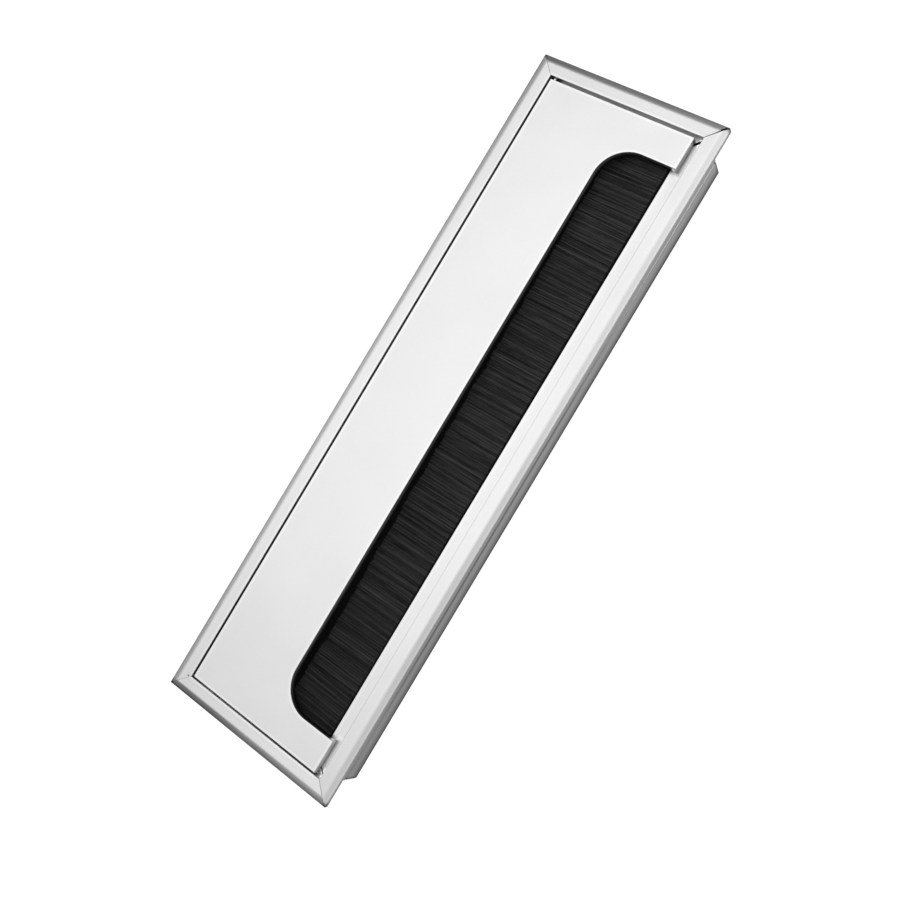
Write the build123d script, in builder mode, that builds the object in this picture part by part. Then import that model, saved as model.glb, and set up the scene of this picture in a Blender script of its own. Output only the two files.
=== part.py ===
"""Rectangular desk cable grommet: mitred aluminium frame, hinged flush lid, brush strip.

Millimetres. X runs along the grommet, +Y is the hinge side, -Y the brush side, +Z is up.
z = 0 is the desk top, the plane on which the underside of the flange sits.
"""
import os

from build123d import *

os.makedirs("parts", exist_ok=True)

# ---------------------------------------------------------------- driving dimensions
FRAME_L = 280.0        # flange, end to end
FRAME_W = 80.0         # flange, side to side
FLANGE_T = 3.0         # flange thickness
FLANGE_IN = 7.0        # flange width, outer edge to the lid's recess
BEVEL_W = 2.35         # sloping outer border of the flange
BEVEL_D = 0.8          # how far that border drops
BEVEL_SOFT = 3.0       # radius that softens the top of the border
WALL_IN = 5.7          # flange outer edge to the outer face of the wall
WALL_T = 1.5           # wall thickness
BODY_Z = -27.0         # lower edge of the walls
GROOVE_Z = -17.9       # fine groove along the outside of the walls
GROOVE_W = 1.4
GROOVE_D = 0.6

# width of the joint line at each mitre
MITRE_HINGE_RIGHT = 0.12
MITRE_HINGE_LEFT = 0.08
MITRE_BRUSH_LEFT = 0.14
MITRE_BRUSH_RIGHT = 0.20
MITRE_FLARE = 0.032    # the brush-side right mitre opens towards its outer corner, per mm of its length
SLIT_L = 2.3           # and its edge is broken out in a short slit near that corner
SLIT_W = 0.5
SLIT_AT = 2.45         # corner to the middle of the slit
BLUNT = 0.4            # that corner's tip is blunt
LEDGE_RELIEF_RIGHT = 0.85   # the end rails' ledges stop short of the brush-side mitres
LEDGE_RELIEF_LEFT = 0.35

LEDGE_Z = -0.7         # top of the ledge under the lid
LEDGE_T = 1.0
LEDGE_IN = 12.8        # flange outer edge to the ledge's inner edge
NOSE_Z = -2.2          # lower end of the ledge's turned-down nose
NOSE_T = 0.9
SLOT_Z = -6.5          # floor of the brush slot
LIP_Z = -6.0           # top of the lip that closes the slot's mouth
WEB_T = 1.0            # web under the brush slot

KEY_TOP = -10.6        # corner key channel on the inner face of the wall
KEY_BOTTOM = -20.6
KEY_DEPTH = 1.8        # channel depth, wall to hook
HOOK_T = 1.0
HOOK_REACH = 1.8       # how far each hook turns over the key
KEY_T = 1.7
KEY_LEG = 25.0

LID_L = 264.2
LID_T = 3.2
LID_TOP = 2.8          # just under the flange top
LID_SHIFT = -0.3       # end float of the lid, as it lies
LID_REAR = 32.2        # hinge-side edge
LID_FRONT = -30.0      # free edge, at the ends of the two ears
LID_EDGE_R = 0.2       # soft upper arris
NOTCH_L = 238.0
NOTCH_Y = -2.9         # inner edge of the notch
NOTCH_R = 13.0         # inner corners of the notch

PIN_D = 1.2
PIN_BORE_D = 1.3       # running bore in the lid
PIN_IN_RAIL = 4.0
PIN_IN_LID = 4.4
PIVOT_Y = LID_REAR - 1.2
PIVOT_Z = LID_TOP - 1.3
LID_HEEL_R = 1.2       # lower hinge-side edge

BRUSH_L = 252.0
BACK_IN = 7.3          # flange outer edge to the back of the brush backing
BACK_D = 4.5
BACK_H = 4.6
BACK_T = 0.6           # folded strip thickness
BACK_LIP = 0.4         # crimped mouth, each side
BRUSH_Z = -4.1         # centre line of the brush
CORE_D = 1.5
TIP_Y = -3.6           # bristle tips
PILE_T = 2.5           # bristle pack thickness
ROOT_CLEAR = 0.05

HALF_L = FRAME_L / 2
HALF_W = FRAME_W / 2
WALL_FACE = WALL_IN + WALL_T


def section(edge, inward):
    """Rail section: points (across, height) from the flange's outer edge towards the opening."""
    hook = WALL_FACE + KEY_DEPTH
    pts = [
        (0, 0),
        (0, FLANGE_T - BEVEL_D),
        (BEVEL_W, FLANGE_T),
        (FLANGE_IN, FLANGE_T),
        (FLANGE_IN, LEDGE_Z),
        (LEDGE_IN, LEDGE_Z),
        (LEDGE_IN, NOSE_Z),
        (LEDGE_IN - NOSE_T, NOSE_Z),
        (LEDGE_IN - NOSE_T, LEDGE_Z - LEDGE_T),
        (WALL_FACE, LEDGE_Z - LEDGE_T),
        (WALL_FACE, SLOT_Z),
        (LEDGE_IN - NOSE_T, SLOT_Z),
        (LEDGE_IN - NOSE_T, LIP_Z),
        (LEDGE_IN, LIP_Z),
        (LEDGE_IN, SLOT_Z - WEB_T),
        (WALL_FACE, SLOT_Z - WEB_T),
        (WALL_FACE, KEY_TOP + HOOK_T),
        (hook + HOOK_T, KEY_TOP + HOOK_T),
        (hook + HOOK_T, KEY_TOP - HOOK_REACH),
        (hook, KEY_TOP - HOOK_REACH),
        (hook, KEY_TOP),
        (WALL_FACE, KEY_TOP),
        (WALL_FACE, KEY_BOTTOM),
        (hook, KEY_BOTTOM),
        (hook, KEY_BOTTOM + HOOK_REACH),
        (hook + HOOK_T, KEY_BOTTOM + HOOK_REACH),
        (hook + HOOK_T, KEY_BOTTOM - HOOK_T),
        (WALL_FACE, KEY_BOTTOM - HOOK_T),
        (WALL_FACE, BODY_Z),
        (WALL_IN, BODY_Z),
        (WALL_IN, GROOVE_Z - GROOVE_W / 2),
        (WALL_IN + GROOVE_D, GROOVE_Z),
        (WALL_IN, GROOVE_Z + GROOVE_W / 2),
        (WALL_IN, 0),
    ]
    return [(edge + inward * s, z) for s, z in pts]


def corners(verts, edge, inward, *points):
    """The section's vertices nearest to the given (across, height) points."""
    picked = []
    for s, z in points:
        target = Vector(edge + inward * s, z, 0)
        picked.append(min(verts, key=lambda v: (Vector(v.X, v.Y, v.Z) - target).length))
    return picked


SOFT_TOP = [(BEVEL_W, FLANGE_T)]
ARRIS = [
    (0, 0),
    (0, FLANGE_T - BEVEL_D),
    (LEDGE_IN, LEDGE_Z),
    (WALL_FACE, BODY_Z),
]
ARRIS_R = 0.3
CRISP = [(FLANGE_IN, FLANGE_T)]
CRISP_R = 0.2
FOOT = [(WALL_IN, BODY_Z)]
FOOT_R = 1.1           # outer lower edge of the walls

# planes that shape the brush-side right corner, and the strip cut from the ledges at the brush-side mitres
FLARE_PLANE = Plane(
    origin=Vector(HALF_L - FLANGE_IN, FLANGE_IN - HALF_W, 0) + Vector(1, 1, 0).normalized() * (MITRE_BRUSH_RIGHT / 2),
    z_dir=Vector(-1, -1, 0).normalized() + Vector(1, -1, 0).normalized() * MITRE_FLARE,
)
SLIT = Vector(HALF_L, -HALF_W, 0) - Vector(1, -1, 0).normalized() * SLIT_AT + Vector(1, 1, 0).normalized() * (0.2 + SLIT_W / 2)
BLUNT_PLANE = Plane(
    origin=Vector(HALF_L, -HALF_W, 0) - Vector(1, -1, 0).normalized() * BLUNT,
    z_dir=Vector(1, -1, 0).normalized(),
)
RELIEF_L = (LEDGE_IN - FLANGE_IN) * 2**0.5 + 1.0
RELIEF_IN = FLANGE_IN + 0.4 + RELIEF_L / 2 / 2**0.5
RELIEF_X = HALF_L - RELIEF_IN
RELIEF_Y = HALF_W - RELIEF_IN

# ---------------------------------------------------------------- frame rails
with BuildPart() as brush_side_rail:
    with BuildSketch(Plane.YZ) as brush_side_section:
        with BuildLine():
            Polyline(*section(-HALF_W, 1), close=True)
        make_face()
        fillet(corners(brush_side_section.vertices(), -HALF_W, 1, *SOFT_TOP), radius=BEVEL_SOFT)
        fillet(corners(brush_side_section.vertices(), -HALF_W, 1, *CRISP), radius=CRISP_R)
        fillet(corners(brush_side_section.vertices(), -HALF_W, 1, *FOOT), radius=FOOT_R)
        fillet(corners(brush_side_section.vertices(), -HALF_W, 1, *ARRIS), radius=ARRIS_R)
    extrude(amount=HALF_L, both=True)
    for side, gap in ((-1, MITRE_BRUSH_LEFT), (1, MITRE_BRUSH_RIGHT)):
        normal = Vector(side, 1, 0).normalized()
        at = Vector(side * HALF_L, -HALF_W, 0) - normal * (gap / 2)
        split(bisect_by=Plane(origin=at, z_dir=normal), keep=Keep.BOTTOM)
    split(bisect_by=BLUNT_PLANE, keep=Keep.BOTTOM)
brush_side_rail.part.label = "brush_side_rail"
export_step(brush_side_rail.part, "parts/brush_side_rail.step")

with BuildPart() as hinge_side_rail:
    with BuildSketch(Plane.YZ) as hinge_side_section:
        with BuildLine():
            Polyline(*section(HALF_W, -1), close=True)
        make_face()
        fillet(corners(hinge_side_section.vertices(), HALF_W, -1, *SOFT_TOP), radius=BEVEL_SOFT)
        fillet(corners(hinge_side_section.vertices(), HALF_W, -1, *CRISP), radius=CRISP_R)
        fillet(corners(hinge_side_section.vertices(), HALF_W, -1, *FOOT), radius=FOOT_R)
        fillet(corners(hinge_side_section.vertices(), HALF_W, -1, *ARRIS), radius=ARRIS_R)
    extrude(amount=HALF_L, both=True)
    for side, gap in ((-1, MITRE_HINGE_LEFT), (1, MITRE_HINGE_RIGHT)):
        normal = Vector(side, -1, 0).normalized()
        at = Vector(side * HALF_L, HALF_W, 0) - normal * (gap / 2)
        split(bisect_by=Plane(origin=at, z_dir=normal), keep=Keep.BOTTOM)
hinge_side_rail.part.label = "hinge_side_rail"
export_step(hinge_side_rail.part, "parts/hinge_side_rail.step")

with BuildPart() as right_end_rail:
    with BuildSketch(Plane.XZ) as right_end_section:
        with BuildLine():
            Polyline(*section(HALF_L, -1), close=True)
        make_face()
        fillet(corners(right_end_section.vertices(), HALF_L, -1, *SOFT_TOP), radius=BEVEL_SOFT)
        fillet(corners(right_end_section.vertices(), HALF_L, -1, *CRISP), radius=CRISP_R)
        fillet(corners(right_end_section.vertices(), HALF_L, -1, *FOOT), radius=FOOT_R)
        fillet(corners(right_end_section.vertices(), HALF_L, -1, *ARRIS), radius=ARRIS_R)
    extrude(amount=HALF_W, both=True)
    for side, gap in ((-1, MITRE_BRUSH_RIGHT), (1, MITRE_HINGE_RIGHT)):
        normal = Vector(-1, side, 0).normalized()
        at = Vector(HALF_L, side * HALF_W, 0) - normal * (gap / 2)
        split(bisect_by=Plane(origin=at, z_dir=normal), keep=Keep.BOTTOM)
    split(bisect_by=FLARE_PLANE, keep=Keep.BOTTOM)
    split(bisect_by=BLUNT_PLANE, keep=Keep.BOTTOM)
    with BuildSketch(Plane.XY.offset(-0.1)):
        with Locations(Location((SLIT.X, SLIT.Y, 0), (0, 0, -45))):
            Rectangle(SLIT_L, SLIT_W)
    extrude(amount=FLANGE_T + 0.2, mode=Mode.SUBTRACT)
    with BuildSketch(Plane.XY.offset(NOSE_Z - 0.1)):
        with Locations(Location((RELIEF_X, -RELIEF_Y, 0), (0, 0, -45))):
            Rectangle(RELIEF_L, 2 * LEDGE_RELIEF_RIGHT)
    extrude(amount=LEDGE_Z - NOSE_Z + 0.2, mode=Mode.SUBTRACT)
    with BuildSketch(Plane.YZ.offset(HALF_L - FLANGE_IN)):
        with Locations((PIVOT_Y, PIVOT_Z)):
            Circle(PIN_D / 2)
    extrude(amount=PIN_IN_RAIL, mode=Mode.SUBTRACT)
right_end_rail.part.label = "right_end_rail"
export_step(right_end_rail.part, "parts/right_end_rail.step")

with BuildPart() as left_end_rail:
    with BuildSketch(Plane.XZ) as left_end_section:
        with BuildLine():
            Polyline(*section(-HALF_L, 1), close=True)
        make_face()
        fillet(corners(left_end_section.vertices(), -HALF_L, 1, *SOFT_TOP), radius=BEVEL_SOFT)
        fillet(corners(left_end_section.vertices(), -HALF_L, 1, *CRISP), radius=CRISP_R)
        fillet(corners(left_end_section.vertices(), -HALF_L, 1, *FOOT), radius=FOOT_R)
        fillet(corners(left_end_section.vertices(), -HALF_L, 1, *ARRIS), radius=ARRIS_R)
    extrude(amount=HALF_W, both=True)
    for side, gap in ((-1, MITRE_BRUSH_LEFT), (1, MITRE_HINGE_LEFT)):
        normal = Vector(1, side, 0).normalized()
        at = Vector(-HALF_L, side * HALF_W, 0) - normal * (gap / 2)
        split(bisect_by=Plane(origin=at, z_dir=normal), keep=Keep.BOTTOM)
    with BuildSketch(Plane.XY.offset(NOSE_Z - 0.1)):
        with Locations(Location((-RELIEF_X, -RELIEF_Y, 0), (0, 0, 45))):
            Rectangle(RELIEF_L, 2 * LEDGE_RELIEF_LEFT)
    extrude(amount=LEDGE_Z - NOSE_Z + 0.2, mode=Mode.SUBTRACT)
    with BuildSketch(Plane.YZ.offset(-HALF_L + FLANGE_IN)):
        with Locations((PIVOT_Y, PIVOT_Z)):
            Circle(PIN_D / 2)
    extrude(amount=-PIN_IN_RAIL, mode=Mode.SUBTRACT)
left_end_rail.part.label = "left_end_rail"
export_step(left_end_rail.part, "parts/left_end_rail.step")

# ---------------------------------------------------------------- lid
LID_X0 = LID_SHIFT - LID_L / 2
LID_X1 = LID_SHIFT + LID_L / 2

with BuildPart() as lid:
    with BuildSketch(Plane.XY.offset(LID_TOP - LID_T)) as lid_plan:
        with BuildLine():
            Polyline(
                (LID_X0, LID_REAR),
                (LID_X1, LID_REAR),
                (LID_X1, LID_FRONT),
                (LID_SHIFT + NOTCH_L / 2, LID_FRONT),
                (LID_SHIFT + NOTCH_L / 2, NOTCH_Y),
                (LID_SHIFT - NOTCH_L / 2, NOTCH_Y),
                (LID_SHIFT - NOTCH_L / 2, LID_FRONT),
                (LID_X0, LID_FRONT),
                close=True,
            )
        make_face()
        fillet(lid_plan.vertices().filter_by_position(Axis.Y, NOTCH_Y - 0.1, NOTCH_Y + 0.1), radius=NOTCH_R)
    extrude(amount=LID_T)
    # the lower hinge-side edge is rounded, so that the lid clears the ledge as it turns
    fillet(lid.edges().filter_by(Axis.X).group_by(Axis.Z)[0].sort_by(Axis.Y)[-1], radius=LID_HEEL_R)
    fillet(lid.faces().sort_by(Axis.Z)[-1].edges(), radius=LID_EDGE_R)
    with BuildSketch(Plane.YZ.offset(LID_X1)):
        with Locations((PIVOT_Y, PIVOT_Z)):
            Circle(PIN_BORE_D / 2)
    extrude(amount=-(PIN_IN_LID + 0.6), mode=Mode.SUBTRACT)
    with BuildSketch(Plane.YZ.offset(LID_X0)):
        with Locations((PIVOT_Y, PIVOT_Z)):
            Circle(PIN_BORE_D / 2)
    extrude(amount=PIN_IN_LID + 0.6, mode=Mode.SUBTRACT)
lid.part.label = "lid"
export_step(lid.part, "parts/lid.step")

# ---------------------------------------------------------------- hinge pins
with BuildPart() as hinge_pin_right:
    with BuildSketch(Plane.YZ.offset(LID_X1 - PIN_IN_LID)):
        with Locations((PIVOT_Y, PIVOT_Z)):
            Circle(PIN_D / 2)
    extrude(amount=HALF_L - FLANGE_IN + PIN_IN_RAIL - (LID_X1 - PIN_IN_LID))
    chamfer(hinge_pin_right.faces().sort_by(Axis.X)[0].edges(), length=0.2)
hinge_pin_right.part.label = "hinge_pin_right"
export_step(hinge_pin_right.part, "parts/hinge_pin_right.step")

with BuildPart() as hinge_pin_left:
    with BuildSketch(Plane.YZ.offset(LID_X0 + PIN_IN_LID)):
        with Locations((PIVOT_Y, PIVOT_Z)):
            Circle(PIN_D / 2)
    extrude(amount=-(HALF_L - FLANGE_IN + PIN_IN_RAIL + (LID_X0 + PIN_IN_LID)))
    chamfer(hinge_pin_left.faces().sort_by(Axis.X)[-1].edges(), length=0.2)
hinge_pin_left.part.label = "hinge_pin_left"
export_step(hinge_pin_left.part, "parts/hinge_pin_left.step")

# ---------------------------------------------------------------- corner keys
KX = HALF_L - WALL_FACE
KY = HALF_W - WALL_FACE
for key_name, sx, sy in (
    ("corner_key_hinge_right", 1, 1),
    ("corner_key_hinge_left", -1, 1),
    ("corner_key_brush_right", 1, -1),
    ("corner_key_brush_left", -1, -1),
):
    with BuildPart() as corner_key:
        with BuildSketch(Plane.XY.offset(KEY_BOTTOM)):
            with BuildLine():
                Polyline(
                    (sx * KX, sy * KY),
                    (sx * (KX - KEY_LEG), sy * KY),
                    (sx * (KX - KEY_LEG), sy * (KY - KEY_T)),
                    (sx * (KX - KEY_T), sy * (KY - KEY_T)),
                    (sx * (KX - KEY_T), sy * (KY - KEY_LEG)),
                    (sx * KX, sy * (KY - KEY_LEG)),
                    close=True,
                )
            make_face()
        extrude(amount=KEY_TOP - KEY_BOTTOM - 0.2)
        leg_ends = [
            e
            for e in corner_key.edges().filter_by(Axis.Z)
            if abs(abs(e.center().X) - (KX - KEY_LEG)) < 0.01 or abs(abs(e.center().Y) - (KY - KEY_LEG)) < 0.01
        ]
        chamfer(leg_ends, length=0.5)
    corner_key.part.label = key_name
    export_step(corner_key.part, f"parts/{key_name}.step")

# ---------------------------------------------------------------- brush strip
BACK_Y0 = -HALF_W + BACK_IN
BACK_Y1 = BACK_Y0 + BACK_D
BACK_Z0 = BRUSH_Z - BACK_H / 2
BACK_Z1 = BRUSH_Z + BACK_H / 2

with BuildPart() as brush_backing:
    with BuildSketch(Plane.YZ) as backing_section:
        with BuildLine():
            Polyline(
                (BACK_Y0, BACK_Z0),
                (BACK_Y1, BACK_Z0),
                (BACK_Y1, BACK_Z0 + BACK_T + BACK_LIP),
                (BACK_Y1 - BACK_T, BACK_Z0 + BACK_T + BACK_LIP),
                (BACK_Y1 - BACK_T, BACK_Z0 + BACK_T),
                (BACK_Y0 + BACK_T, BACK_Z0 + BACK_T),
                (BACK_Y0 + BACK_T, BACK_Z1 - BACK_T),
                (BACK_Y1 - BACK_T, BACK_Z1 - BACK_T),
                (BACK_Y1 - BACK_T, BACK_Z1 - BACK_T - BACK_LIP),
                (BACK_Y1, BACK_Z1 - BACK_T - BACK_LIP),
                (BACK_Y1, BACK_Z1),
                (BACK_Y0, BACK_Z1),
                close=True,
            )
        make_face()
        fillet(
            [v for v in backing_section.vertices() if v.Y in (BACK_Z0, BACK_Z1) or abs(v.Y - BACK_Z0) < 1e-6 or abs(v.Y - BACK_Z1) < 1e-6],
            radius=0.5,
        )
    extrude(amount=BRUSH_L / 2, both=True)
brush_backing.part.label = "brush_backing"
export_step(brush_backing.part, "parts/brush_backing.step")

CORE_Y = BACK_Y0 + BACK_T + 0.3 + CORE_D / 2

with BuildPart() as brush_core_wire:
    with BuildSketch(Plane.YZ):
        with Locations((CORE_Y, BRUSH_Z)):
            Circle(CORE_D / 2)
    extrude(amount=BRUSH_L / 2, both=True)
brush_core_wire.part.label = "brush_core_wire"
export_step(brush_core_wire.part, "parts/brush_core_wire.step")

ROOT_Y0 = BACK_Y0 + BACK_T + ROOT_CLEAR
ROOT_Y1 = BACK_Y1 - BACK_T - ROOT_CLEAR
ROOT_H = BACK_H - 2 * BACK_T - 2 * ROOT_CLEAR

with BuildPart() as brush_bristles:
    with BuildSketch(Plane.YZ):
        with BuildLine():
            Polyline(
                (ROOT_Y0, BRUSH_Z - ROOT_H / 2),
                (ROOT_Y1, BRUSH_Z - ROOT_H / 2),
                (ROOT_Y1, BRUSH_Z - PILE_T / 2),
                (TIP_Y, BRUSH_Z - PILE_T / 2),
                (TIP_Y, BRUSH_Z + PILE_T / 2),
                (ROOT_Y1, BRUSH_Z + PILE_T / 2),
                (ROOT_Y1, BRUSH_Z + ROOT_H / 2),
                (ROOT_Y0, BRUSH_Z + ROOT_H / 2),
                close=True,
            )
        make_face()
        with Locations((CORE_Y, BRUSH_Z)):
            Circle(CORE_D / 2, mode=Mode.SUBTRACT)
    extrude(amount=BRUSH_L / 2, both=True)
brush_bristles.part.label = "brush_bristles"
export_step(brush_bristles.part, "parts/brush_bristles.step")
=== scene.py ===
import math

import bpy
import numpy as np
from mathutils import Matrix, Vector


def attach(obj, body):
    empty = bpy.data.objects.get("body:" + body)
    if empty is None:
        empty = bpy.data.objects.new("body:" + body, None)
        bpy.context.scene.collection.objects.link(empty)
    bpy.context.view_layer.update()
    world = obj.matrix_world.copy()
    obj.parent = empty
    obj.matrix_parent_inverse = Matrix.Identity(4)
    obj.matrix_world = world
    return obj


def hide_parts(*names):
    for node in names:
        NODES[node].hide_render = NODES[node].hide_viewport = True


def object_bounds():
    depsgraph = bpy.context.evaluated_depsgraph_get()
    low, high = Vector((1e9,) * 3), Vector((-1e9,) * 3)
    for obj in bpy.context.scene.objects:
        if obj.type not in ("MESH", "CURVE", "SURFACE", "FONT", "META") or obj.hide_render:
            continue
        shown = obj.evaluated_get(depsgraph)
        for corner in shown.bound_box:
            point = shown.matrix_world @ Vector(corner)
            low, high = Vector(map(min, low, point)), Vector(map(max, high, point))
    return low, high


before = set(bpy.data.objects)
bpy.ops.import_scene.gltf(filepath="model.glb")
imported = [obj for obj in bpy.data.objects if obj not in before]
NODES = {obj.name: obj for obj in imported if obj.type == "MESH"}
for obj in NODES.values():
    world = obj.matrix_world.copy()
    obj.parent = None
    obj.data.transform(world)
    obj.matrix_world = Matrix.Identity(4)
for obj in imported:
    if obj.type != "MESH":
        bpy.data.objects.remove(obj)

CAD_BOX = [list(map(float, c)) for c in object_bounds()]
SCENE = bpy.context.scene
MM = 0.001


# ---------------------------------------------------------------- node helpers
class Mat:
    """A material with a Principled shader and short calls for its nodes."""

    def __init__(self, name, base, metallic, roughness):
        self.mat = bpy.data.materials.new(name)
        self.mat.use_nodes = True
        self.t = self.mat.node_tree
        self.t.nodes.clear()
        self.out = self.t.nodes.new("ShaderNodeOutputMaterial")
        self.bsdf = self.t.nodes.new("ShaderNodeBsdfPrincipled")
        self.t.links.new(self.bsdf.outputs["BSDF"], self.out.inputs["Surface"])
        self.bsdf.inputs["Base Color"].default_value = (*base, 1.0)
        self.bsdf.inputs["Metallic"].default_value = metallic
        self.bsdf.inputs["Roughness"].default_value = roughness
        self.mat.diffuse_color = (*base, 1.0)

    def node(self, kind, **props):
        n = self.t.nodes.new(kind)
        for k, v in props.items():
            setattr(n, k, v)
        return n

    def link(self, a, b):
        self.t.links.new(a, b)

    def coords(self, scale):
        """Object coordinates in millimetres, stretched by scale."""
        tc = self.node("ShaderNodeTexCoord")
        mp = self.node("ShaderNodeMapping")
        mp.inputs["Scale"].default_value = tuple(1000.0 * s for s in scale)
        self.link(tc.outputs["Object"], mp.inputs["Vector"])
        return mp.outputs["Vector"]

    def parts(self, source):
        """X, Y and Z of the object position in millimetres, or of the object normal."""
        sep = self.node("ShaderNodeSeparateXYZ")
        if source == "Normal":
            tc = self.node("ShaderNodeTexCoord")
            self.link(tc.outputs["Normal"], sep.inputs[0])
        else:
            self.link(self.coords((1.0, 1.0, 1.0)), sep.inputs[0])
        return sep.outputs["X"], sep.outputs["Y"], sep.outputs["Z"]

    def noise(self, scale, detail=2.0, rough=0.5, size=1.0):
        n = self.node("ShaderNodeTexNoise", noise_dimensions="3D")
        n.inputs["Scale"].default_value = size
        n.inputs["Detail"].default_value = detail
        n.inputs["Roughness"].default_value = rough
        self.link(self.coords(scale), n.inputs["Vector"])
        return n.outputs["Fac"]

    def ramp(self, fac, stops):
        r = self.node("ShaderNodeValToRGB")
        e = r.color_ramp.elements
        while len(e) < len(stops):
            e.new(0.5)
        for el, (pos, col) in zip(e, stops):
            el.position = pos
            el.color = (*col, 1.0) if len(col) == 3 else col
        self.link(fac, r.inputs["Fac"])
        return r.outputs["Color"]

    def remap(self, fac, lo, hi, a=0.0, b=1.0):
        m = self.node("ShaderNodeMapRange")
        m.inputs["From Min"].default_value = a
        m.inputs["From Max"].default_value = b
        m.inputs["To Min"].default_value = lo
        m.inputs["To Max"].default_value = hi
        self.link(fac, m.inputs["Value"])
        return m.outputs["Result"]

    def math(self, op, a, b=0.0):
        m = self.node("ShaderNodeMath", operation=op)
        for i, v in enumerate((a, b)):
            if isinstance(v, (int, float)):
                m.inputs[i].default_value = v
            else:
                self.link(v, m.inputs[i])
        return m.outputs["Value"]

    def bump(self, height, strength, distance, normal=None):
        b = self.node("ShaderNodeBump")
        b.inputs["Strength"].default_value = strength
        b.inputs["Distance"].default_value = distance
        self.link(height, b.inputs["Height"])
        if normal is not None:
            self.link(normal, b.inputs["Normal"])
        return b.outputs["Normal"]


def between(m, value, a, b):
    """0 below a, 1 above b, and the other way round where b is the smaller."""
    return m.remap(value, 0.0, 1.0, a, b) if a < b else m.remap(value, 1.0, 0.0, b, a)


def lid_shade(m):
    """Painted shade on the lid's cut edges, most on the ears' fronts and on the notch's wall, with a painted reflection
    of the bristles low in the notch; painted light and shade along the face; a painted highlight along the upper arris.
    """
    nx, _, nz = m.parts("Normal")
    nz = m.math("ABSOLUTE", nz)
    x, y, z = m.parts("Object")
    # painted light and shade along the face: a little lighter in the middle and darker towards the left end, but for
    # its very end
    face = m.math("MULTIPLY", m.remap(x, 0.970, 1.012, -115.0, -40.0), m.remap(x, 1.0, 0.988, 15.0, 60.0))
    face = m.math("MULTIPLY", face, m.remap(x, 1.035, 1.0, -129.0, -112.0))
    # painted shade darkens the ears' front faces, most on the right ear and towards the bottom, where they meet the
    # ledge
    ear = m.math("MULTIPLY", m.remap(x, LID_EAR_LEFT, LID_EAR_RIGHT, -10.0, 10.0), m.remap(z, 0.75, 1.25, -0.3, 2.6))
    ear = m.math("MULTIPLY", between(m, y, -29.0, -29.6), ear)
    # a painted reflection of the dark bristles darkens the notch's wall low down, and painted shade darkens it towards
    # the left
    wall = m.math("MULTIPLY", m.remap(z, 0.06, 1.15, 0.2, 2.4), m.remap(x, 0.68, 1.0, -66.0, -44.0))
    x = m.math("ABSOLUTE", m.math("ADD", x, 0.3))
    # painted shade darkens the notch's wall at the notch's ends
    wall = m.math("MULTIPLY", wall, m.remap(nx, 1.0, NOTCH_LEFT, 0.2, 0.9))
    wall = m.math("MULTIPLY", wall, m.remap(nx, NOTCH_RIGHT, 1.0, -0.9, -0.2))
    inner = m.math("MULTIPLY", between(m, x, 122.0, 120.5), m.math("MULTIPLY", between(m, y, 5.0, 0.0), between(m, y, -28.3, -27.6)))
    wall = m.math("SUBTRACT", 1.0, m.math("MULTIPLY", inner, m.math("SUBTRACT", 1.0, wall)))
    # painted shade darkens the lid's other cut edges by LID_EDGE
    ear = m.math("ADD", ear, m.math("MULTIPLY", between(m, y, -29.6, -29.0), m.math("MULTIPLY", wall, LID_EDGE)))
    level = between(m, nz, 0.45, 0.80)
    factor = m.math("ADD", level, m.math("MULTIPLY", m.math("SUBTRACT", 1.0, level), ear))
    # distance from the notch's outline, measured on the face
    dx = m.math("MAXIMUM", m.math("SUBTRACT", x, 106.0), 0.0)
    dy = m.math("MAXIMUM", m.math("ADD", y, 15.9), 0.0)
    notch = m.math("SQRT", m.math("ADD", m.math("MULTIPLY", dx, dx), m.math("MULTIPLY", dy, dy)))
    # a painted highlight along the upper arris round the lid, the ears' fronts and the notch
    rim = m.math("MAXIMUM", between(m, x, 130.8, 131.5), between(m, y, 30.8, 31.5))
    rim = m.math("MAXIMUM", rim, between(m, y, -28.8, -29.4))
    rim = m.math("MAXIMUM", rim, between(m, notch, 14.2, 13.5))
    rim = m.math("MULTIPLY", rim, between(m, nz, 0.80, 0.95))
    factor = m.math("MULTIPLY", factor, face)
    return m.math("MULTIPLY", factor, m.remap(rim, 1.0, RIM_LIGHT))


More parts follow.
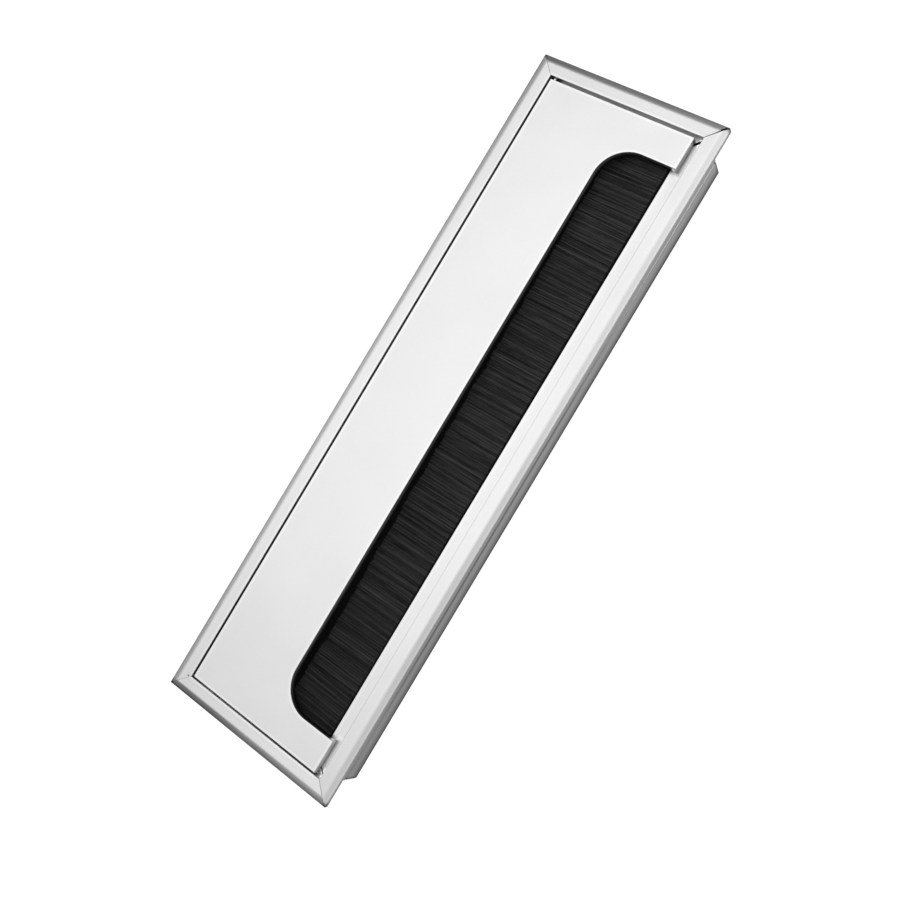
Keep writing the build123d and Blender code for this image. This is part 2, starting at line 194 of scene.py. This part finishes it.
def rail_shade(m, sides, brush=1.0, hinge_side=1.0):
    """Sawn mitre faces are dull. Painted shade darkens the gap round the lid, the real groove and a band over it, the
    wall towards its foot and its corners, the shaft, parts of the border and its outer arris; painted light brightens
    the ledge beside the ears, its lip, the recess arris and the brush side's outer arris.
    """
    nx, ny, nz = m.parts("Normal")
    x, y, z = m.parts("Object")
    ax = m.math("ABSOLUTE", x)
    sawn = m.math("MULTIPLY", m.math("ABSOLUTE", nx), m.math("ABSOLUTE", ny))
    shade = m.remap(sawn, 1.0, 0.15, 0.42, 0.48)
    # painted shade in the gap: it is open along the ends and narrow along the hinge; the shade is grey along the ends,
    # dark along the hinge and round the right pin
    deep = between(m, z, 2.6, 1.2)
    end = between(m, ax, 131.2, 131.6)
    inside = m.math("MULTIPLY", between(m, ax, 133.4, 133.1), between(m, y, 33.4, 33.1))
    inside = m.math("MULTIPLY", inside, deep)
    ends = m.math("MULTIPLY", m.math("MULTIPLY", end, between(m, y, -31.4, -30.4)), inside)
    left = m.remap(y, GAP_LEFT_BRUSH, GAP_LEFT_HINGE, -15.0, 15.0)
    tone = m.math("ADD", m.math("MULTIPLY", between(m, x, -10.0, 10.0), GAP_RIGHT), m.math("MULTIPLY", between(m, x, 10.0, -10.0), left))
    shade = m.math("MULTIPLY", shade, m.math("SUBTRACT", 1.0, m.math("MULTIPLY", ends, m.math("SUBTRACT", 1.0, tone))))
    pin = m.math("MULTIPLY", between(m, y, 28.6, 30.0), between(m, x, 131.2, 131.6))
    hinge = m.math("MULTIPLY", m.math("MAXIMUM", between(m, y, 31.6, 32.0), pin), inside)
    tone = m.remap(x, 1.0 - GAP_HINGE_LEFT, 1.0 - GAP_HINGE, -110.0, -40.0)
    shade = m.math("MULTIPLY", shade, m.math("SUBTRACT", 1.0, m.math("MULTIPLY", hinge, tone)))
    # painted light brightens the ledge beside the lid's ears, and a painted highlight runs along the ledge's lip
    ledge = m.math("MULTIPLY", between(m, z, 0.2, -0.2), between(m, z, -1.4, -1.0))
    ear = m.math("MULTIPLY", m.math("MULTIPLY", ledge, between(m, y, -29.0, -29.8)), between(m, ax, 116.0, 118.0))
    shade = m.math("MULTIPLY", shade, m.remap(ear, 1.0, EAR_LEDGE))
    lip = m.math("MULTIPLY", m.math("MULTIPLY", ledge, between(m, y, -28.7, -28.3)), between(m, y, -26.0, -27.0))
    lip = m.math("MULTIPLY", lip, between(m, ax, 118.6, 117.8))
    shade = m.math("MULTIPLY", shade, m.remap(lip, 1.0, LIP_LIGHT))
    # painted shade on the wall: in the real groove, and on the brush side in a band over it, both fading at the left
    # end; darker towards the foot and at the wall's ends
    groove = between(m, m.math("ABSOLUTE", m.math("ADD", z, 17.9)), 0.85, 0.25)
    groove = m.math("MULTIPLY", groove, m.remap(x, 1.0 - GROOVE_DARK, 1.0 - GROOVE_RIGHT, 30.0, 95.0))
    groove = m.math("MULTIPLY", groove, m.remap(x, GROOVE_FADE, 1.0, -115.0, -75.0))
    shade = m.math("MULTIPLY", shade, m.math("SUBTRACT", 1.0, groove))
    under = m.math("MULTIPLY", between(m, m.math("ABSOLUTE", m.math("ADD", z, 18.25)), 1.0, 0.45), between(m, y, -31.0, -33.0))
    under = m.math("MULTIPLY", under, m.remap(x, 1.0 - UNDER_LEFT, 1.0 - UNDER_RIGHT, 20.0, 80.0))
    under = m.math("MULTIPLY", under, m.remap(x, GROOVE_FADE, 1.0, -115.0, -75.0))
    shade = m.math("MULTIPLY", shade, m.math("SUBTRACT", 1.0, under))
    shade = m.math("MULTIPLY", shade, m.remap(z, FOOT_DARK, 1.0, -26.6, -21.4))
    corner = m.math("MULTIPLY", between(m, ax, 133.0, 133.9), between(m, z, -0.4, -0.6))
    shade = m.math("MULTIPLY", shade, m.remap(corner, 1.0, CORNER_DARK))
    # painted shade darkens the walls inside the shaft, more with depth
    ay = m.math("ABSOLUTE", y)
    shaft = m.math("MULTIPLY", between(m, ax, 132.95, 132.85), between(m, ay, 32.95, 32.85))
    shade = m.math("MULTIPLY", shade, m.remap(m.math("MULTIPLY", shaft, between(m, z, -2.4, -8.0)), 1.0, SHAFT_SHADE))
    # painted shade: the left end's border darkens towards the hinge, and the brush side's a little left of its middle
    border = m.math("MULTIPLY", between(m, x, -137.5, -137.8), between(m, y, 0.0, 18.0))
    shade = m.math("MULTIPLY", shade, m.remap(border, 1.0, BORDER_LEFT))
    border = m.math("MULTIPLY", between(m, x, -100.0, -70.0), between(m, x, 20.0, -10.0))
    border = m.math("MULTIPLY", border, between(m, y, -37.5, -37.8))
    shade = m.math("MULTIPLY", shade, m.remap(border, 1.0, BORDER_BRUSH))
    # painted shade darkens the border's outer arris at the ends and on the hinge side, and most at the corners' tips; a
    # painted highlight brightens it on the brush side
    high = between(m, z, 1.0, 1.4)
    for value, a, b, dark in ((x, 138.7, 139.3, OUTER_RIGHT), (x, -138.7, -139.3, OUTER_LEFT), (y, 38.8, 39.4, OUTER_HINGE), (y, -39.3, -39.7, OUTER_BRUSH)):
        shade = m.math("MULTIPLY", shade, m.remap(m.math("MULTIPLY", between(m, value, a, b), high), 1.0, dark))
    tip = m.math("MULTIPLY", between(m, m.math("ADD", ax, ay), 177.2, 178.8), high)
    shade = m.math("MULTIPLY", shade, m.remap(tip, 1.0, TIP_DARK))
    # a painted highlight along the recess's upper arris
    near_x, near_y = between(m, ax, 134.0, 133.5), between(m, y, 34.0, 33.5)
    near = m.math("MULTIPLY", near_x, near_y)
    rim_x = m.math("MULTIPLY", near, between(m, ax, 132.5, 132.9))
    rim_y = m.math("MULTIPLY", near, between(m, y, 32.5, 32.9))
    rim = m.math("MULTIPLY", m.math("MAXIMUM", rim_x, rim_y), m.math("MULTIPLY", between(m, y, -31.5, -30.5), between(m, nz, 0.80, 0.95)))
    rim = m.math("MULTIPLY", rim, between(m, z, 2.6, 2.8))
    shade = m.math("MULTIPLY", shade, m.remap(rim, 1.0, RIM_LIGHT))
    # a pit beside the left hinge-side mitre
    px, py = m.math("ADD", x, 133.38), m.math("SUBTRACT", y, 34.2)
    pit = m.math("SQRT", m.math("ADD", m.math("MULTIPLY", px, px), m.math("MULTIPLY", py, py)))
    shade = m.math("MULTIPLY", shade, m.remap(pit, 0.35, 1.0, 0.2, 0.55))
    # painted shade and light: the long rails are a shade darker towards their ends, and an end rail may be darker
    # towards the hinge and lighter towards the brush
    shade = m.math("MULTIPLY", shade, m.remap(ax, 1.01, sides, 30.0, 85.0))
    return m.math("MULTIPLY", shade, m.remap(y, brush, hinge_side, -28.0, 28.0))


def ledge_polish(m):
    """The ledge is smoother at the recess's two corners beside the lid's ears."""
    x, y, z = m.parts("Object")
    ledge = m.math("MULTIPLY", between(m, z, 0.2, -0.2), between(m, z, -1.4, -1.0))
    ear = m.math("MULTIPLY", between(m, y, -30.2, -30.8), between(m, m.math("ABSOLUTE", x), 129.4, 130.2))
    return m.math("MULTIPLY", m.math("MULTIPLY", ledge, ear), LEDGE_SMOOTH)


def aluminium(name, along, tone, rough, streak, grain, tint, mottle, factor_of, polish_of=None):
    """Satin anodised aluminium. Drawing lines run along one axis; a fine etched grain covers all."""
    m = Mat(name, tone, 1.0, rough)
    thin, long_ = 9.0, 0.012
    fine = (long_, thin, thin) if along == "X" else (thin, long_, thin)
    broad = (long_ * 0.4, 1.1, 1.1) if along == "X" else (1.1, long_ * 0.4, 1.1)
    lines = m.noise(fine, detail=3.0, rough=0.6)
    bands = m.noise(broad, detail=2.0, rough=0.5)
    etch = m.noise((11.0, 11.0, 11.0), detail=2.0, rough=0.6)
    satin = m.noise((1.3, 1.3, 1.3), detail=3.0, rough=0.65)
    cloud = m.noise((0.035, 0.035, 0.035), detail=3.0, rough=0.55)
    factor = factor_of(m)
    # roughness: etched grain, drawing lines, a slow cloud, and rougher where the factor paints shade
    r = m.math("ADD", m.remap(lines, -1.5 * tint, 1.5 * tint, 0.3, 0.7), m.remap(cloud, -0.03, 0.03, 0.3, 0.7))
    r = m.math("ADD", r, m.remap(etch, rough - 0.03, rough + 0.03, 0.3, 0.7))
    r = m.math("ADD", r, m.remap(factor, 0.20, 0.0, 0.40, 0.90))
    if polish_of is not None:
        r = m.math("MAXIMUM", m.math("SUBTRACT", r, polish_of(m)), 0.08)
    m.link(r, m.bsdf.inputs["Roughness"])
    # colour: a slight change in tone between drawing lines, bands, grain and patches
    v = m.math("ADD", m.remap(lines, 1.0 - tint, 1.0 + tint, 0.3, 0.7), m.remap(bands, -0.8 * tint, 0.8 * tint, 0.3, 0.7))
    v = m.math("ADD", v, m.remap(satin, -mottle, mottle, 0.3, 0.7))
    v = m.math("ADD", v, m.remap(cloud, -0.010, 0.010, 0.3, 0.7))
    # the factor paints light and shade into the colour
    v = m.math("MULTIPLY", v, factor)
    col = m.node("ShaderNodeVectorMath", operation="SCALE")
    col.inputs[0].default_value = tone
    m.link(v, col.inputs["Scale"])
    m.link(col.outputs["Vector"], m.bsdf.inputs["Base Color"])
    n = m.bump(etch, grain, 0.00002)
    n = m.bump(lines, streak, 0.00002, n)
    m.link(n, m.bsdf.inputs["Normal"])
    return m.mat


def steel(name, tone, rough, spangle, shade_from=None):
    """Plated steel with a faint spangle; painted shade may darken it beyond a place along X."""
    m = Mat(name, tone, 1.0, rough)
    sp = m.noise((0.6, 0.6, 0.6), detail=3.0, rough=0.6)
    fine = m.noise((8.0, 8.0, 8.0), detail=2.0, rough=0.5)
    col = m.ramp(sp, [(0.3, tuple(c * (1 - spangle) for c in tone)), (0.7, tuple(min(1, c * (1 + spangle)) for c in tone))])
    if shade_from is not None:
        scaled = m.node("ShaderNodeVectorMath", operation="SCALE")
        m.link(col, scaled.inputs[0])
        m.link(m.remap(m.parts("Object")[0], 1.0, 0.2, shade_from, shade_from + 0.5), scaled.inputs["Scale"])
        col = scaled.outputs["Vector"]
    m.link(col, m.bsdf.inputs["Base Color"])
    m.link(m.remap(sp, rough - 0.08, rough + 0.08, 0.3, 0.7), m.bsdf.inputs["Roughness"])
    m.link(m.bump(fine, 0.15, 0.00002), m.bsdf.inputs["Normal"])
    return m.mat


def nylon(name):
    """Black nylon filament: near black, with a soft sheen; each strand has its own tone."""
    m = Mat(name, (0.03, 0.03, 0.031), 0.0, 0.42)
    uv = m.node("ShaderNodeUVMap", uv_map="strand")
    sep = m.node("ShaderNodeSeparateXYZ")
    m.link(uv.outputs["UV"], sep.inputs[0])
    tuft = m.noise((2.6, 0.20, 1.5), detail=2.0, rough=0.5)
    own = m.math("POWER", sep.outputs["X"], 1.8)
    tone = m.math("ADD", m.remap(own, 0.05, 0.64), m.remap(tuft, 0.0, 0.28, 0.35, 0.65))
    # painted shade: the row is darker towards its left end
    side = m.remap(m.parts("Object")[0], 0.74, 1.0, -95.0, 0.0)
    # the strands are in the ledge's shade where they leave the backing
    lit = m.remap(sep.outputs["Y"], 0.05, 1.0, 0.142, 0.168)
    # painted light brightens the strands a little near the ledge, beyond the ledge's shade
    lit = m.math("MULTIPLY", lit, m.math("MULTIPLY", side, m.remap(sep.outputs["Y"], 1.10, 0.98, 0.17, 0.60)))
    m.link(m.ramp(m.math("MULTIPLY", tone, lit), [(0.0, NYLON_DARK), (1.0, NYLON_LIGHT)]), m.bsdf.inputs["Base Color"])
    m.link(m.remap(sep.outputs["X"], 0.50, 0.38), m.bsdf.inputs["Roughness"])
    # the sheen carries the same painted light and shade
    m.link(m.math("MULTIPLY", lit, m.remap(own, 0.28, 0.62)), m.bsdf.inputs["Specular IOR Level"])
    return m.mat


NYLON_DARK = (0.005, 0.005, 0.0053)
NYLON_LIGHT = (0.081, 0.081, 0.083)
# strengths of the painted shade (below 1) and painted light (above 1) on the lid and rails; GROOVE_FADE eases the
# painted shade at the left end, and LEDGE_SMOOTH is a roughness
LID_EDGE, LID_EAR_LEFT, LID_EAR_RIGHT, NOTCH_LEFT, NOTCH_RIGHT = 0.90, 0.72, 0.57, 0.35, 0.50
GAP_RIGHT, GAP_LEFT_BRUSH, GAP_LEFT_HINGE, GAP_HINGE, GAP_HINGE_LEFT = 0.78, 0.50, 0.90, 0.42, 0.28
GROOVE_DARK, GROOVE_RIGHT, UNDER_LEFT, UNDER_RIGHT, FOOT_DARK, CORNER_DARK = 0.38, 0.72, 0.52, 0.85, 0.34, 0.42
OUTER_RIGHT, OUTER_LEFT, OUTER_HINGE, OUTER_BRUSH, TIP_DARK = 0.66, 0.52, 0.80, 1.15, 0.40
RIM_LIGHT, EAR_LEDGE, LIP_LIGHT = 1.13, 1.12, 1.06
SHAFT_SHADE, BORDER_LEFT, BORDER_BRUSH, GROOVE_FADE, LEDGE_SMOOTH = 0.40, 0.62, 0.95, 0.55, 0.25
# the rails are one anodised extrusion: the right end rail's darker tone and the left end rail's lighter one are painted
# shade and light, and so are rail_shade's gradients
RAIL_LONG = aluminium("rail_aluminium_long", "X", (0.855, 0.855, 0.86), 0.34, 0.20, 0.10, 0.024, 0.018, lambda m: rail_shade(m, 0.945), ledge_polish)
RAIL_RIGHT = aluminium("rail_aluminium_right", "Y", (0.800, 0.800, 0.805), 0.34, 0.20, 0.10, 0.024, 0.018, lambda m: rail_shade(m, 1.0, 1.01, 0.98), ledge_polish)
RAIL_LEFT = aluminium("rail_aluminium_left", "Y", (0.865, 0.865, 0.87), 0.34, 0.20, 0.10, 0.024, 0.018, lambda m: rail_shade(m, 1.0, 1.05, 0.96), ledge_polish)
LID_AL = aluminium("lid_aluminium_satin", "X", (0.865, 0.865, 0.867), 0.36, 0.01, 0.10, 0.003, 0.012, lid_shade)
PIN_ST = steel("pin_steel_bright", (0.90, 0.90, 0.91), 0.24, 0.03, 132.3)
# the left pin's colour is near black: painted shade in its narrow gap
PIN_SHADED = steel("pin_steel_painted_shade", (0.10, 0.10, 0.105), 0.55, 0.06)
KEY_ST = steel("key_steel_zinc", (0.52, 0.53, 0.55), 0.38, 0.10)
STRIP_ST = steel("strip_steel_galvanised", (0.48, 0.49, 0.50), 0.40, 0.12)
NYLON = nylon("bristle_nylon_black")

FINISH = {
    "hinge_side_rail": RAIL_LONG,
    "brush_side_rail": RAIL_LONG,
    "right_end_rail": RAIL_RIGHT,
    "left_end_rail": RAIL_LEFT,
    "lid": LID_AL,
    "hinge_pin_right": PIN_ST,
    "hinge_pin_left": PIN_SHADED,
    "corner_key_hinge_right": KEY_ST,
    "corner_key_hinge_left": KEY_ST,
    "corner_key_brush_right": KEY_ST,
    "corner_key_brush_left": KEY_ST,
    "brush_backing": STRIP_ST,
    "brush_core_wire": STRIP_ST,
    "brush_bristles": NYLON,
}
for name, mat in FINISH.items():
    o = NODES[name]
    o.data.materials.clear()
    o.data.materials.append(mat)


# ---------------------------------------------------------------- bristles
def smooth_noise(rng, x, wave, amp):
    """A slow random curve over x (mm), with about one swing per wave."""
    n = int((x.max() - x.min()) / wave) + 4
    knots = rng.normal(0.0, amp, n)
    pos = (x - x.min()) / wave + 1.0
    i = np.clip(pos.astype(int), 1, n - 3)
    f = pos - i
    p0, p1, p2, p3 = knots[i - 1], knots[i], knots[i + 1], knots[i + 2]
    return 0.5 * (2 * p1 + (p2 - p0) * f + (2 * p0 - 5 * p1 + 4 * p2 - p3) * f**2 + (3 * p1 - p0 - 3 * p2 + p3) * f**3)


RUN = np.array([0.0, 0.12, 0.42, 0.74, 1.0])


def bristle_points(seed):
    """Centre lines of all bristles, in mm: array (count, points, 3). Also each bristle's own number, 0 to 1."""
    rng = np.random.default_rng(seed)
    half, pitch, layers = 125.6, 0.34, 6
    even = np.random.default_rng(seed + 1)
    xs, zs, owns = [], [], []
    for k in range(layers):
        x = np.arange(-half, half, pitch) + rng.uniform(0, pitch)
        x = x + rng.normal(0.0, 0.11, x.size)
        xs.append(np.clip(x, -half, half))
        zs.append(np.full(x.size, (k - (layers - 1) / 2) * 0.38) + rng.normal(0.0, 0.10, x.size))
        # dark and light bristles are mixed evenly along the row
        mix = np.concatenate([even.permutation(7) for _ in range(x.size // 7 + 1)])[: x.size]
        owns.append((mix + even.uniform(0, 1, x.size)) / 7)
    x = np.concatenate(xs)
    z = np.concatenate(zs)
    own = np.concatenate(owns)
    order = np.argsort(x, kind="stable")
    x, z, own = x[order], z[order], own[order]
    n = x.size
    # tips: the row is a little shorter towards the left end, and tufts differ
    row = np.interp(x, [-110.0, -92.0, -72.0, -42.0, 0.0, 50.0, 90.0, 110.0], [0.15, -0.45, -0.60, 0.0, 0.05, 0.15, 0.35, 0.40])
    tip = -3.55 + 0.0062 * x + row + smooth_noise(rng, x, 6.0, 0.16) + smooth_noise(rng, x, 1.6, 0.14) + rng.normal(0.0, 0.16, n)
    root = np.full(n, -29.6)
    # lean of whole tufts and of single bristles, at the tip
    lean = smooth_noise(rng, x, 9.0, 0.28) + smooth_noise(rng, x, 1.5, 0.14) + rng.normal(0.0, 0.32, n)
    lift = smooth_noise(rng, x, 5.0, 0.06) + smooth_noise(rng, x, 1.3, 0.05) + rng.normal(0.0, 0.16, n)
    t = RUN
    p = np.zeros((n, t.size, 3))
    p[:, :, 0] = np.clip(x[:, None] + lean[:, None] * t[None, :] ** 1.2, -half, half)
    p[:, :, 1] = root[:, None] + (tip - root)[:, None] * t[None, :]
    p[:, :, 2] = -4.1 + z[:, None] * (0.86 + 0.22 * t[None, :]) + lift[:, None] * t[None, :] ** 1.4
    return p, own


def tubes(name, p, own, radius, mat):
    """One mesh of thin filaments along the given centre lines, with flat cut ends."""
    n, m, _ = p.shape
    sides = 4
    rng = np.random.default_rng(len(name) + n)
    turn = rng.uniform(0, 2 * math.pi, n)
    a = turn[:, None] + np.arange(sides)[None, :] * 2 * math.pi / sides
    ring = np.zeros((n, m, sides, 3))
    ring[..., 0] = p[:, :, None, 0] + radius * np.cos(a)[:, None, :]
    ring[..., 1] = p[:, :, None, 1]
    ring[..., 2] = p[:, :, None, 2] + radius * np.sin(a)[:, None, :]
    ends = np.stack([ring[:, 0], ring[:, -1]], axis=1)
    count = n * m * sides
    verts = np.concatenate([ring.reshape(-1, 3), ends.reshape(-1, 3)]) * MM
    base = (np.arange(n) * m * sides)[:, None, None]
    j = (np.arange(m - 1) * sides)[None, :, None]
    s = np.arange(sides)[None, None, :]
    s2 = (s + 1) % sides
    quads = np.stack([base + j + s, base + j + sides + s, base + j + sides + s2, base + j + s2], axis=-1).reshape(-1, 4)
    b = count + np.arange(n) * 2 * sides
    k = np.arange(sides)
    cap0 = b[:, None] + k[None, :]
    cap1 = b[:, None] + sides + k[None, ::-1]
    faces = np.concatenate([quads, cap0, cap1])
    me = bpy.data.meshes.new(name)
    me.from_pydata(verts.tolist(), [], faces.tolist())
    me.materials.append(mat)
    # the strand map: u is the strand's own number, v runs from root to tip
    u = np.concatenate([np.repeat(own, m * sides), np.repeat(own, 2 * sides)])
    v = np.concatenate([np.tile(np.repeat(RUN, sides), n), np.tile(np.repeat([0.0, 1.0], sides), n)])
    strand = me.uv_layers.new(name="strand")
    corner = faces.reshape(-1)
    strand.data.foreach_set("uv", np.stack([u[corner], v[corner]], axis=1).astype(np.float32).reshape(-1))
    smooth = np.ones(len(faces), dtype=bool)
    smooth[len(quads) :] = False
    me.polygons.foreach_set("use_smooth", smooth)
    me.update()
    o = bpy.data.objects.new(name, me)
    SCENE.collection.objects.link(o)
    return o


POINTS, OWN = bristle_points(11)
thirds = np.array_split(np.arange(len(POINTS)), 3)
for label, idx in zip(("left", "middle", "right"), thirds):
    tuft = tubes("bristles_" + label, POINTS[idx], OWN[idx], 0.165, NYLON)
    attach(tuft, "frame")
    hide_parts("brush_bristles")


# ---------------------------------------------------------------- stage
def flat(name, grey, glow):
    """A plain matt white that may also glow evenly, as a lit studio table does."""
    m = bpy.data.materials.new(name)
    m.use_nodes = True
    t = m.node_tree
    t.nodes.clear()
    out = t.nodes.new("ShaderNodeOutputMaterial")
    dif = t.nodes.new("ShaderNodeBsdfDiffuse")
    dif.inputs["Color"].default_value = (grey, grey, grey, 1)
    if glow:
        add = t.nodes.new("ShaderNodeAddShader")
        emi = t.nodes.new("ShaderNodeEmission")
        emi.inputs["Strength"].default_value = glow
        t.links.new(dif.outputs[0], add.inputs[0])
        t.links.new(emi.outputs[0], add.inputs[1])
        t.links.new(add.outputs[0], out.inputs["Surface"])
    else:
        t.links.new(dif.outputs[0], out.inputs["Surface"])
    return m


def table(name, z, rings):
    """The pale table. It glows evenly, but inside the frame and right at its foot it carries painted shadow: there it
    does not glow and is a darker grey.
    """
    half = [(20.0, 20.0)] + [r[:2] for r in rings]
    v, f = [], []
    for hx, hy in half:
        v += [(-hx, -hy, z), (hx, -hy, z), (hx, hy, z), (-hx, hy, z)]
    for k in range(len(half) - 1):
        a, b = 4 * k, 4 * k + 4
        f += [(a + i, a + (i + 1) % 4, b + (i + 1) % 4, b + i) for i in range(4)]
    f.append(tuple(range(len(v) - 4, len(v))))
    me = bpy.data.meshes.new(name)
    me.from_pydata(v, [], f)
    me.materials.append(flat("pale_table", 0.45, 0.86))
    for k, (_, _, grey) in enumerate(rings):
        me.materials.append(flat(f"pale_table_shade_{k}", grey, 0.0))
    for k, poly in enumerate(me.polygons):
        poly.material_index = min(k // 4, len(rings))
    o = bpy.data.objects.new(name, me)
    SCENE.collection.objects.link(o)
    return o


# painted shadow: a dark grey ring at the frame's foot and near black inside it
floor = table("floor", CAD_BOX[0][2] - 0.0002, [(0.1343, 0.0343, 0.20), (0.1336, 0.0336, 0.03)])
floor.visible_glossy = False

# a plain grey studio: dim to the sides, a little lighter below and in front
world = bpy.data.worlds.new("studio")
SCENE.world = world
world.use_nodes = True
wt = world.node_tree
bg = wt.nodes["Background"]
wtc = wt.nodes.new("ShaderNodeTexCoord")
wsep = wt.nodes.new("ShaderNodeSeparateXYZ")
wt.links.new(wtc.outputs["Generated"], wsep.inputs[0])


def world_range(src, a, b, lo, hi):
    m = wt.nodes.new("ShaderNodeMapRange")
    m.interpolation_type = "SMOOTHSTEP"
    m.inputs["From Min"].default_value = a
    m.inputs["From Max"].default_value = b
    for key, v in (("To Min", lo), ("To Max", hi)):
        if isinstance(v, float):
            m.inputs[key].default_value = v
        else:
            wt.links.new(v, m.inputs[key])
    wt.links.new(src, m.inputs["Value"])
    return m.outputs["Result"]


def world_math(op, a, b):
    m = wt.nodes.new("ShaderNodeMath")
    m.operation = op
    for k, v in enumerate((a, b)):
        if isinstance(v, float):
            m.inputs[k].default_value = v
        else:
            wt.links.new(v, m.inputs[k])
    return m.outputs["Value"]


SKY_MID, SKY_SIDE, LOW_LEFT, LOW_RIGHT, LOW_FRONT, LOW_BACK = 0.145, 0.02, 0.27, 0.37, 0.50, 0.05
side = world_math("ABSOLUTE", wsep.outputs["X"], 0.0)
sky = world_range(side, 0.35, 0.75, SKY_MID, SKY_SIDE)
rim = world_range(wsep.outputs["Y"], -0.60, 0.30, LOW_FRONT, LOW_BACK)
down = world_range(wsep.outputs["X"], -0.40, 0.42, LOW_LEFT, LOW_RIGHT)
low = world_range(wsep.outputs["Z"], -0.85, -0.45, down, rim)
room = world_range(wsep.outputs["Z"], -0.25, 0.15, low, sky)
wt.links.new(room, bg.inputs["Color"])
bg.inputs["Strength"].default_value = 1.0


def softbox(name, centre, target, width, height, radiance):
    li = bpy.data.lights.new(name, "AREA")
    li.shape = "RECTANGLE"
    li.size = width
    li.size_y = height
    li.energy = radiance * math.pi * width * height
    o = bpy.data.objects.new(name, li)
    SCENE.collection.objects.link(o)
    d = (Vector(target) - Vector(centre)).normalized()
    o.matrix_world = Matrix.Translation(Vector(centre)) @ d.to_track_quat("-Z", "Y").to_matrix().to_4x4()
    return o


def ceiling(name, x0, x1, y0, y1, radiance):
    """One level soft panel of the ceiling over the table. The panels lie edge to edge."""
    cx, cy = (x0 + x1) / 2, (y0 + y1) / 2
    return softbox(name, (cx, cy, 0.92), (cx, cy, 0.0), x1 - x0, y1 - y0, radiance)


def around(name, azimuth, elevation, width, height, radiance):
    """A soft panel beside the table, facing it. Azimuth 0 is +X, 90 is +Y."""
    a, e = math.radians(azimuth), math.radians(elevation)
    at = (1.2 * math.cos(e) * math.cos(a), 1.2 * math.cos(e) * math.sin(a), 1.2 * math.sin(e))
    return softbox(name, at, (0.0, 0.0, 0.0), width, height, radiance)


ceiling("ceiling_front", -1.40, 0.25, -0.90, -0.20, 0.493)
ceiling("ceiling_front_right", 0.25, 1.40, -0.90, -0.20, 0.772)
ceiling("ceiling_left", -1.40, -0.55, -0.20, 0.10, 0.493)
ceiling("ceiling_middle_left", -0.55, -0.15, -0.20, 0.10, 0.79)
ceiling("ceiling_middle", -0.15, 0.25, -0.20, 0.10, 0.89)
ceiling("ceiling_middle_right", 0.25, 0.66, -0.20, 0.10, 1.187)
ceiling("ceiling_right", 0.66, 1.40, -0.20, 0.10, 0.772)
ceiling("ceiling_key", -0.55, 0.25, 0.10, 0.60, 0.975)
ceiling("ceiling_key_right", 0.25, 0.66, 0.10, 0.60, 1.122)
ceiling("ceiling_behind", -0.55, 0.66, 0.60, 0.95, 0.734)
ceiling("ceiling_back", -0.55, 0.66, 0.95, 2.30, 0.319)
ceiling("ceiling_back_left", -1.40, -0.55, 0.10, 2.30, 0.226)
ceiling("ceiling_back_right", 0.66, 1.40, 0.10, 2.30, 0.226)
around("back", 90, 33, 0.90, 0.40, 0.480)
around("front", -90, 20, 1.20, 0.40, 1.0)
around("right", 0, 33, 0.90, 0.40, 0.296)
around("left", 180, 33, 0.90, 0.40, 0.147)
around("left_low", 180, 14, 0.90, 0.36, 0.201)
around("front_right", -45, 14, 0.90, 0.36, 2.0)

# ---------------------------------------------------------------- camera
cam_data = bpy.data.cameras.new("camera")
cam_data.sensor_width = 36.0
cam_data.sensor_fit = "HORIZONTAL"
cam_data.lens = 43.7027
cam_data.clip_start = 0.01
cam_data.clip_end = 50.0
camera = bpy.data.objects.new("camera", cam_data)
SCENE.collection.objects.link(camera)
right = Vector((0.513491, -0.785576, -0.345261)).normalized()
ahead = Vector((-0.007452, 0.398257, -0.917244)).normalized()
up = right.cross(ahead)
camera.matrix_world = Matrix(
    (
        (right.x, up.x, -ahead.x, -0.005419),
        (right.y, up.y, -ahead.y, -0.169132),
        (right.z, up.z, -ahead.z, 0.367429),
        (0, 0, 0, 1),
    )
)
SCENE.camera = camera

SCENE.view_settings.view_transform = "Standard"
SCENE.view_settings.look = "None"
SCENE.view_settings.exposure = 0.0
SCENE.view_settings.gamma = 1.0
